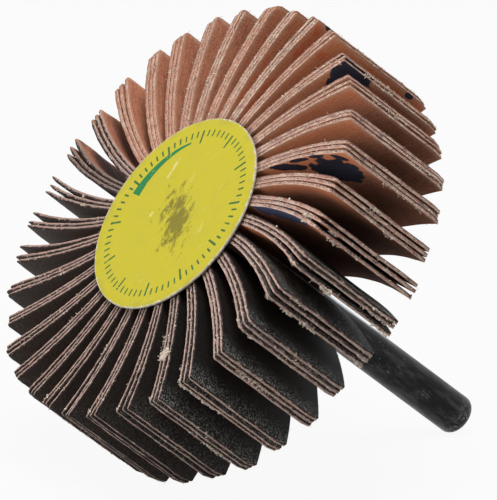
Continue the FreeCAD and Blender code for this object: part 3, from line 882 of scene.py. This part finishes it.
def lathe(name, profile, segments, material, place_name):
    """Closed turned mesh from (radius, height) points, both ends on the axis."""
    bm = bmesh.new()
    rings = []
    for radius, height in profile:
        angles = [2 * math.pi * i / segments for i in range(1 if radius == 0 else segments)]
        rings.append([bm.verts.new((radius * math.cos(angle), radius * math.sin(angle), height)) for angle in angles])
    for lower, upper in zip(rings, rings[1:]):
        for i in range(segments):
            j = (i + 1) % segments
            corners = [lower[i % len(lower)], lower[j % len(lower)], upper[j % len(upper)], upper[i % len(upper)]]
            bm.faces.new(list(dict.fromkeys(corners)))
    bmesh.ops.recalc_face_normals(bm, faces=bm.faces)
    for face in bm.faces:
        face.smooth = True
    for edge in bm.edges:
        edge.smooth = edge.calc_face_angle(0.0) < TURNED_CREASE
    mesh = bpy.data.meshes.new(name)
    bm.to_mesh(mesh)
    bm.free()
    mesh.materials.append(material)
    place_attribute(mesh, place_name, [vertex.co.copy() for vertex in mesh.vertices])
    return mesh


def rounded(corner_r, corner_z, radius, toward, steps):
    """Points round a turned outer corner; toward is the height's direction away from it."""
    angles = [math.pi / 2 * i / steps for i in range(steps + 1)]
    return [(corner_r - radius * (1 - math.cos(angle)), corner_z + toward * radius * (1 - math.sin(angle)))
            for angle in angles]


# Settings

def length(name, description, millimetres):
    return bpy.props.FloatProperty(name=name, description=description, default=millimetres * MM, unit="LENGTH")


def power(name, description, watts):
    return bpy.props.FloatProperty(name=name, description=description, default=watts, unit="POWER")


def tone(name, description, colour):
    return bpy.props.FloatVectorProperty(
        name=name, description=description, subtype="COLOR", size=3, min=0, max=1, default=colour)


class ClothSettings(bpy.types.PropertyGroup):
    thickness: length("Sheet thickness", "Thickness of the abrasive cloth", SHEET_THICKNESS)
    width: length("Width", "Width of the cloth along the spindle", 20.0)
    tip_radius: length("Tip radius", "Spindle axis to the tip of an unworn pack", 35.2)
    raggedness: length("Raggedness", "How far the cut edges are frayed back", 0.12)
    waviness: length("Waviness", "How far the sheets ripple", 0.22)
    backing_colour: tone("Backing", "Colour of the cotton backing", srgb(214, 138, 106))
    grit_colour: tone("Grit", "Colour of the grit and its bond", srgb(14, 13, 12))
    edge_colour: tone("Cut edge", "Colour of the cotton ends at a cut edge", srgb(192, 158, 148))


class DiscSettings(bpy.types.PropertyGroup):
    radius: length("Radius", "Radius of the printed disc", 15.75)
    thickness: length("Thickness", "Thickness of the card", 0.36)
    offset: length("Off centre", "How far off centre the disc is stuck on", 2.1)
    offset_angle: bpy.props.FloatProperty(
        name="Direction", description="Direction of that shift, seen from the front",
        default=math.radians(280), subtype="ANGLE")
    colour: tone("Face", "Ground colour of the print", srgb(191, 179, 42))
    print_colour: tone("Marks", "Colour of the dial marks", srgb(52, 98, 46))
    arc_colour: tone("Arc", "Colour of the broad arc", srgb(30, 118, 66))


class SpindleSettings(bpy.types.PropertyGroup):
    radius: length("Radius", "Radius of the shank", 3.0)
    head_radius: length("Head radius", "Radius inside the resin", 2.8)
    end_round: length("End round", "Round on the free end", 1.2)
    colour: tone("Oxide", "Colour of the blackened surface", srgb(23, 24, 23))


class StudioSettings(bpy.types.PropertyGroup):
    floor_colour: tone("Floor", "Colour of the floor", (0.50, 0.50, 0.50))
    key_power: power("Key lamp", "Power of the soft lamp above", 6.2)
    front_power: power("Front lamp", "Power of the soft lamp in front", 3.2)
    sky: bpy.props.FloatProperty(
        name="Sky", description="Strength of the even light all round", default=0.34)


class WHEEL_OT_cloth_packs(bpy.types.Operator):
    """Make the packs of abrasive cloth"""
    bl_idname = "wheel.cloth_packs"
    bl_label = "Cloth packs"

    def execute(self, context):
        cloth = context.scene.wheel_cloth
        material = cloth_material(cloth)
        fibre = fibre_material(cloth)
        tree = flap_pack_tree()
        thickness = cloth.thickness / MM
        root = root_radius(thickness)
        for number, (set_back, gap_before, gap_after, wear) in enumerate(PACK_ROWS):
            clean_edges = 12 < number < 24
            values = {
                "Sheets": SHEETS, "Sheet thickness": thickness, "Width": cloth.width / MM,
                "Root radius": root, "Core radius": root + SEAT_DEPTH,
                "Tip radius": cloth.tip_radius / MM - wear, "Set-back": set_back,
                "Gap before": gap_before, "Gap after": gap_after,
                "Corner wear": CORNER_WEAR.get(number, 0.12), "Raggedness": cloth.raggedness / MM,
                "Tip thinning": 0.75 if number in FEATHERED else 0.3, "Edge look": edge_look(number),
                "Fibre density": 1.2 if clean_edges else 2.0, "Crumb density": 0.2 if clean_edges else 0.55,
                "Waviness": cloth.waviness / MM, "Seed": float(number),
                "Material": material, "Fibre material": fibre,
            }
            for oval, stain in enumerate(STAINS.get(number, [])):
                values["Stain place %d" % oval] = stain[:3]
                values["Stain size %d" % oval] = (*stain[3:], 0.0)
            name = "cloth_pack_%02d" % (number + 1)
            mesh = own_mesh(name, tree, values)
            settle(mesh, name, "cloth", "flap_pack_%02d" % (number + 1), turn=number * PITCH)
        return {"FINISHED"}


class WHEEL_OT_fluff(bpy.types.Operator):
    """Make the tufts of fluff and glue that stand on some edges"""
    bl_idname = "wheel.fluff"
    bl_label = "Fluff and glue"

    def execute(self, context):
        cloth = context.scene.wheel_cloth
        tip_radius, thickness = cloth.tip_radius / MM, cloth.thickness / MM
        chance = random.Random(7)
        spots, sizes = [], []
        for number, place, along_from, across_from, along_to, across_to, spread, count, crumb in TUFTS:
            for _ in range(count):
                share = chance.random()
                along = along_from + (along_to - along_from) * share
                across = across_from + (across_to - across_from) * share
                point = sheet_point(number, place, along, across, tip_radius, thickness)
                spots.append(point + Vector([chance.gauss(0, 0.32) * spread for _ in range(3)]))
                sizes.append([crumb * chance.choice((0.5, 0.7, 1.0))] * 3)
        start_mesh = bpy.data.meshes.new("fluff")
        start_mesh.from_pydata(spots, [], [])
        place_attribute(start_mesh, "bit_size", sizes)
        mesh = own_mesh("fluff_and_glue", fluff_tree(), {
            "Strand length": 0.7, "Share of strands": 0.3, "Fibre material": fibre_material(cloth)}, start_mesh)
        settle(mesh, "fluff_and_glue", "cloth")
        return {"FINISHED"}


class WHEEL_OT_disc(bpy.types.Operator):
    """Make the printed disc"""
    bl_idname = "wheel.disc"
    bl_label = "Printed disc"

    def execute(self, context):
        disc = context.scene.wheel_disc
        material = disc_material(disc)
        radius, thickness = disc.radius / MM, disc.thickness / MM
        bevel = thickness * 0.25
        profile = [(0, 0), (radius - bevel, 0)]
        profile += rounded(radius, 0, bevel, toward=1, steps=3)[::-1]
        profile += rounded(radius, thickness, bevel, toward=-1, steps=3)
        profile += [(radius * share, thickness) for share in (0.9, 0.75, 0.5, 0.25)] + [(0, thickness)]
        mesh = lathe("printed_disc", profile, 128, material, "disc_place")
        shift = disc.offset / MM
        mesh.transform(Matrix.Translation((
            shift * math.cos(disc.offset_angle), shift * math.sin(disc.offset_angle), CORE_FRONT)))
        settle(mesh, "printed_disc", "label", "label_disc")
        return {"FINISHED"}


class WHEEL_OT_spindle(bpy.types.Operator):
    """Make the steel spindle"""
    bl_idname = "wheel.spindle"
    bl_label = "Spindle"

    def execute(self, context):
        spindle = context.scene.wheel_spindle
        material = steel_material(spindle)
        radius, head, end = spindle.radius / MM, spindle.head_radius / MM, spindle.end_round / MM
        profile = [(0, HEAD_TOP), (head, HEAD_TOP), (head, RESIN_REAR), (radius, RESIN_REAR)]
        steps = 24
        low = SHANK_END + end
        profile += [(radius, RESIN_REAR + (low - RESIN_REAR) * i / steps) for i in range(1, steps)]
        profile += rounded(radius, SHANK_END, end, toward=1, steps=8)
        profile += [(radius * 0.3, SHANK_END), (0, SHANK_END)]
        mesh = lathe("steel_spindle", profile, 72, material, "turned_place")
        settle(mesh, "steel_spindle", "steel", "spindle")
        return {"FINISHED"}


class WHEEL_OT_core(bpy.types.Operator):
    """Dress the resin core"""
    bl_idname = "wheel.core"
    bl_label = "Resin core"

    def execute(self, context):
        node = frame["nodes"]["core"]
        node.data.materials.clear()
        node.data.materials.append(resin_material())
        return {"FINISHED"}


class WHEEL_OT_studio(bpy.types.Operator):
    """Set up the floor, lamps, sky and camera"""
    bl_idname = "wheel.studio"
    bl_label = "Studio"

    def execute(self, context):
        scene = context.scene
        studio = scene.wheel_studio
        bpy.ops.mesh.primitive_grid_add(x_subdivisions=4, y_subdivisions=4, size=6.0)
        floor = context.active_object
        floor.name = "floor"
        floor.data.materials.append(plain_stage_material("pale floor", tuple(studio.floor_colour), white_share=0.93))

        world = bpy.data.worlds.new("sky")
        world.use_nodes = True
        world.node_tree.nodes.clear()
        g = Graph(world.node_tree)
        strength = seen_directly(g).spread(0.0, 1.0, studio.sky, 1.0)
        sky = g.add("ShaderNodeBackground", {"Color": (1, 1, 1, 1), "Strength": strength})
        g.add("ShaderNodeOutputWorld", {"Surface": sky})
        scene.world = world

        aim = Vector((-0.839, -2.011, 31.497)) * MM
        camera_at = Vector((1229.953, -731.608, 392.978)) * MM
        right = Vector((0.50770692, 0.86147085, 0.01008307))
        up = Vector((-0.21600051, 0.11595236, 0.96948379))
        back = right.cross(up)
        camera = bpy.data.objects.new("camera", bpy.data.cameras.new("camera"))
        camera.matrix_world = Matrix.Translation(camera_at) @ Matrix((right, up, back)).transposed().to_4x4()
        camera.data.sensor_width = 36.0
        camera.data.lens = 735.996
        camera.data.clip_start = 0.05
        camera.data.clip_end = 20.0
        scene.collection.objects.link(camera)
        scene.camera = camera

        def lamp(name, direction, distance, size, power):
            data = bpy.data.lights.new(name, "AREA")
            data.shape = "DISK"
            data.size = size
            data.energy = power
            piece = bpy.data.objects.new(name, data)
            place = aim + direction.normalized() * distance
            facing = (place - aim).to_track_quat("Z", "Y").to_matrix().to_4x4()
            piece.matrix_world = Matrix.Translation(place) @ facing
            scene.collection.objects.link(piece)

        lamp("key lamp", up * 1.0 + right * 0.05 + back * 0.45, distance=0.9, size=0.45, power=studio.key_power)
        lamp("front lamp", back * 0.55 - right * 0.75 + up * 0.10, distance=0.9, size=0.5, power=studio.front_power)
        scene.view_settings.view_transform = "Standard"
        return {"FINISHED"}


class WHEEL_PT_panel(bpy.types.Panel):
    """Lists the steps that make the wheel"""
    bl_label = "Flap Wheel"
    bl_idname = "WHEEL_PT_panel"
    bl_space_type = "VIEW_3D"
    bl_region_type = "UI"
    bl_category = "Flap Wheel"

    def draw(self, context):
        for operator in OPERATORS:
            self.layout.operator(operator.bl_idname)


SETTINGS = {
    "wheel_cloth": ClothSettings,
    "wheel_disc": DiscSettings,
    "wheel_spindle": SpindleSettings,
    "wheel_studio": StudioSettings,
}
OPERATORS = (
    WHEEL_OT_cloth_packs, WHEEL_OT_fluff, WHEEL_OT_disc, WHEEL_OT_spindle, WHEEL_OT_core, WHEEL_OT_studio,
)


def register():
    for name, group in SETTINGS.items():
        bpy.utils.register_class(group)
        setattr(bpy.types.Scene, name, bpy.props.PointerProperty(type=group))
    for operator in OPERATORS:
        bpy.utils.register_class(operator)
    bpy.utils.register_class(WHEEL_PT_panel)


def unregister():
    bpy.utils.unregister_class(WHEEL_PT_panel)
    for operator in reversed(OPERATORS):
        bpy.utils.unregister_class(operator)
    for name, group in SETTINGS.items():
        delattr(bpy.types.Scene, name)
        bpy.utils.unregister_class(group)


def main():
    register()
    for operator in OPERATORS:
        group, step = operator.bl_idname.split(".")
        getattr(getattr(bpy.ops, group), step)()


if __name__ == "__main__":
    main()
